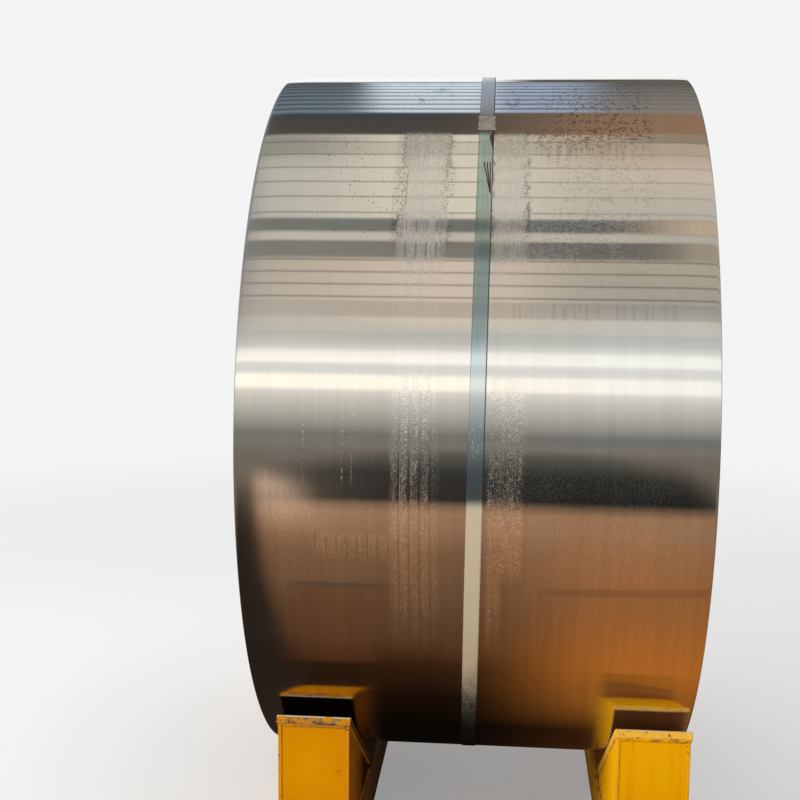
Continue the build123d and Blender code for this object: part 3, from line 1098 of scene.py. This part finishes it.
def wearMaterial():
    # local X runs up the slope, local Z out of the face
    material, pen = newMaterial("wornPaint")
    look = chockLook
    place = pen.node("TexCoord", output="Object")
    along, out = place.part(0), place.part(2)
    world, _, _, cloud, paint = plainPaint(pen)
    flake = world.noise(95.0, 5.0, 0.72)
    blot = world.noise((34.0, 60.0, 60.0), 4.0, 0.65)
    grit = world.noise(260.0, 3.0, 0.6)
    patches = world.noise(15.0, 3.0, 0.6)
    leftHand = onLeft(world)
    onTop = out.smooth(-0.0024, -0.0006)
    # on top: greasy where the coil sits and rubbed towards the tip; on the left-hand plates the greasy part
    # is near black, partly painted shade under the coil
    rubbed = (along + (patches - 0.5) * 0.10).smooth(0.02, 0.09).most(cloud.smooth(0.4, 0.6)) * onTop
    greaseAndShade = (along + (patches - 0.5) * 0.06).smooth(0.12, 0.20) * onTop
    # on the end: a pale rubbed line along the top, rust and bare patches below it
    tail = along.smooth(look["wearLength"] - 0.006, look["wearLength"] - 0.003)
    rim = out.smooth(-0.0052, -0.0030) * (1.0 - onTop) * (0.4 + 0.6 * tail)
    chipped = (flake * 0.6 + blot * 0.5 + rim * 0.10 + leftHand * 0.085 - 0.055).smooth(0.555, 0.600)
    loss = rubbed.most(chipped)
    metal = flake.smooth(0.40, 0.60).mix(paintLook["primer"], paintLook["bare"])
    metal = (blot.smooth(0.52, 0.62) * 0.8).mix(metal, paintLook["rust"])
    metal = (rim * 0.90).mix(metal, (0.84, 0.82, 0.68))
    # the ends and sides of the right-hand wear plates are a brighter yellow
    brightEnds = ((1.0 - onTop) * (1.0 - leftHand) * 0.55).mix(paint, (1.0, 0.62, 0.11))
    colour = loss.mix(brightEnds, metal)
    # painted shade: the edge that faces right is dark brown on the left-hand plates
    edge = facing(pen, 0).smooth(0.3, 0.9) * leftHand
    colour = (edge * 0.85).mix(colour, flake.mix((0.17, 0.075, 0.026), (0.045, 0.024, 0.012)))
    black = (flake.smooth(0.60, 0.66) * (0.4 + 0.6 * (out.smooth(-0.009, -0.014)))) * (1.0 - onTop)
    colour = (black * 0.9).mix(colour, paintLook["rust"])
    # greasy top, near black on the left-hand plates as painted shade
    colour = (greaseAndShade * 0.97).mix(colour, leftHand.mix(paintLook["oil"], paintLook["greaseAndShade"]))
    rough = 0.42 + (flake - 0.5) * 0.2 + loss * 0.10
    height = flake * 0.5 + grit * 0.2 - loss * 0.8 - black * 0.5
    finishPaint(pen, colour, rough, (height, 0.0007, 0.6), loss * 0.35 * (1.0 - greaseAndShade))
    return material


def weldMaterial():
    material, pen = newMaterial("weldPaint")
    world, _, _, _, colour = plainPaint(pen)
    flake = world.noise(120.0, 4.0, 0.7)
    blot = world.noise((30.0, 60.0, 60.0), 3.0, 0.6)
    leftHand = onLeft(world)
    rust = (flake * 0.5 + blot * 0.6 + leftHand * 0.05).smooth(0.52, 0.60)
    colour = (rust * 0.85).mix(colour, flake.mix(paintLook["primer"], (0.55, 0.26, 0.05)))
    colour = (flake.smooth(0.60, 0.66) * 0.9).mix(colour, paintLook["rust"])
    finishPaint(pen, colour, 0.45 + rust * 0.2, (flake, 0.0006, 0.5))
    return material


def railMaterial():
    material, pen = newMaterial("railPaint")
    world, height, _, _, colour = plainPaint(pen)
    upward = facing(pen, 2)
    flake = world.noise(42.0, 5.0, 0.7)
    grit = world.noise(150.0, 3.0, 0.6)
    smear = world.noise((9.0, 2.2, 9.0), 4.0, 0.65)
    scrape = world.noise((60.0, 3.0, 60.0), 3.0, 0.6)
    leftHand = onLeft(world)
    # top faces: near black-brown all over on the left rail, partly orange on the right one
    dust = upward.smooth(0.5, 0.9) * leftHand.most(0.55 + 0.40 * smear.smooth(0.32, 0.52))
    colour = (smear.smooth(0.40, 0.62) * 0.5).mix(colour, (0.42, 0.17, 0.02))
    colour = dust.mix(colour, leftHand.mix((0.62, 0.215, 0.030), (0.055, 0.030, 0.014)))
    # painted shade: the sides that face right are grey-brown on the left rail
    across = facing(pen, 0)
    side = across.smooth(0.3, 0.9) * leftHand * (0.80 + 0.20 * smear.smooth(0.35, 0.6))
    colour = side.mix(colour, grit.mix((0.22, 0.145, 0.085), (0.10, 0.062, 0.036)))
    # painted light: the sides that face left are brighter orange on the right rail
    colour = (across.smooth(-0.3, -0.9) * (1.0 - leftHand) * 0.6).mix(colour, (0.90, 0.42, 0.02))
    low = height.smooth(0.045, 0.0)
    grime = (grit * 0.35 + smear * 0.6 + low * 0.25).smooth(0.52, 0.74)
    colour = (grime * 0.7).mix(colour, (0.11, 0.06, 0.03))
    edge = height.smooth(0.088, 0.097) * (1.0 - upward.smooth(0.90, 0.995))
    loss = (flake * 0.65 + scrape * 0.40 + edge * 0.14).smooth(0.63, 0.68)
    colour = loss.mix(colour, grit.mix(paintLook["rust"], paintLook["primer"]))
    rough = 0.46 + (flake - 0.5) * 0.2 + grime * 0.15
    finishPaint(pen, colour, rough, (flake * 0.5 + grit * 0.25 - loss, 0.0007, 0.5))
    return material


beadLook = {
    "ring": 0.0022,
    "sides": 8,
    "ripple": 0.0055,
    "swell": (0.90, 0.14),
    "uneven": 0.05,
    "sway": 0.0002,
    "taper": 0.35,
}


def weldMesh(name, start, end, radius, dice):
    # a rippled bead from start to end, half sunk in the corner it fills
    look = beadLook
    start, end = Vector(start), Vector(end)
    length = (end - start).length
    way = (end - start).normalized()
    across = way.orthogonal().normalized()
    beyond = way.cross(across)
    rings = max(8, int(length / look["ring"]))
    sides = look["sides"]
    low, rise = look["swell"]
    vertices = []
    for k in range(rings + 1):
        share = k / rings
        ripple = abs(math.sin(share * length / look["ripple"] * math.pi))
        swell = radius * (low + rise * ripple + dice.uniform(-look["uneven"], look["uneven"]))
        if k in (0, rings):
            swell *= look["taper"]
        centre = start + way * (length * share) + across * dice.uniform(-look["sway"], look["sway"])
        for j in range(sides):
            turn = 2 * math.pi * j / sides
            vertices.append(centre + (across * math.cos(turn) + beyond * math.sin(turn)) * swell)
    caps = [tuple(range(sides - 1, -1, -1)), tuple(rings * sides + j for j in range(sides))]
    mesh = bpy.data.meshes.new(name)
    mesh.from_pydata(vertices, [], caps + ringFaces(rings + 1, sides))
    return mesh


chockPaint = backMaterial()
cheekPaint = cheekMaterial()
basePaint = baseMaterial()
wornPaint = wearMaterial()
weldPaint = weldMaterial()
railPaint = railMaterial()


def buildChock(name, x, side, dice):
    look = chockLook
    cosine, sine = math.cos(slope), math.sin(slope)

    def addPlate(kind, outline, thickness, edge, paint, place):
        title = name + kind.title() + "Plate"
        mesh = plateMesh(title, outline, thickness, *look[edge])
        addPiece(title, mesh, [paint], [f"{name}_{kind}_plate"], matrix=place)

    # wear plate
    wide = look["wearWidth"] / 2
    outline = [(0, -wide), (look["wearLength"], -wide), (look["wearLength"], wide), (0, wide)]
    up = Vector((0, side * cosine, sine))
    out = Vector((0, -side * sine, cosine))
    place = Matrix((up, out.cross(up), out)).transposed().to_4x4()
    place.translation = Vector((x, side * look["tip"], tipTop))
    addPlate("wear", outline, -look["wearThickness"], "wearEdge", wornPaint, place)
    # side plates
    nose = look["tip"] + look["wearThickness"] * sine + look["sideNose"]
    body = look["bodyWidth"] / 2
    thick = look["sideThickness"]
    for hand, low in (("left", -body), ("right", body - thick)):
        place = standing(x + (low if side < 0 else low + thick), side)
        addPlate(hand, sideView(nose, backFace), thick, "sideEdge", cheekPaint, place)
    # back plate
    outer = backFace - look["backRecess"]
    outline = sideView(outer - look["backThickness"], outer)
    inside = body - thick
    place = standing(x + side * inside, side)
    addPlate("back", outline, 2 * inside, "backEdge", chockPaint, place)
    # base plate
    half = look["plateWidth"] / 2
    begin, end = side * (look["tip"] - look["plateInset"]), side * plateEnd
    short = end - side * look["plateSkew"]
    outline = [(x - half, begin), (x + half, begin), (x + half, short), (x - half, end)]
    place = Matrix.Translation((0, 0, look["railHeight"]))
    addPlate("base", outline, look["plateThickness"], "baseEdge", basePaint, place)
    # welds
    beads = []
    for title, level, radius in (("TopWeld", underside(outer), "topBead"), ("FootWeld", baseTop, "footBead")):
        beads.append((title, (x - inside, outer, level), (x + inside, outer, level), look[radius]))
    for hand, edge in (("Left", x - body), ("Right", x + body)):
        near, far = nose + look["footStops"][0], backFace - look["footStops"][1]
        beads.append((hand + "FootWeld", (edge, near, baseTop), (edge, far, baseTop), look["sideBead"]))
        near, far = nose + look["slopeStops"][0], backFace - look["slopeStops"][1]
        beads.append((
            hand + "SlopeWeld", (edge, near, underside(near)), (edge, far, underside(far)), look["sideBead"],
        ))
    for title, start, finish, radius in beads:
        start = (start[0], side * start[1], start[2])
        finish = (finish[0], side * finish[1], finish[2])
        mesh = weldMesh(name + title, start, finish, radius, dice)
        addPiece(name + title, mesh, [weldPaint], smooth=True)


dice = random.Random(chockLook["seed"])
for row, side in (("front", -1), ("rear", 1)):
    for hand in ("left", "right"):
        buildChock(f"{row}_{hand}", chockLook[hand], side, dice)
print("chocks built")

for hand in ("left", "right"):
    dress(hand + "_rail", railPaint)
print("rails dressed")
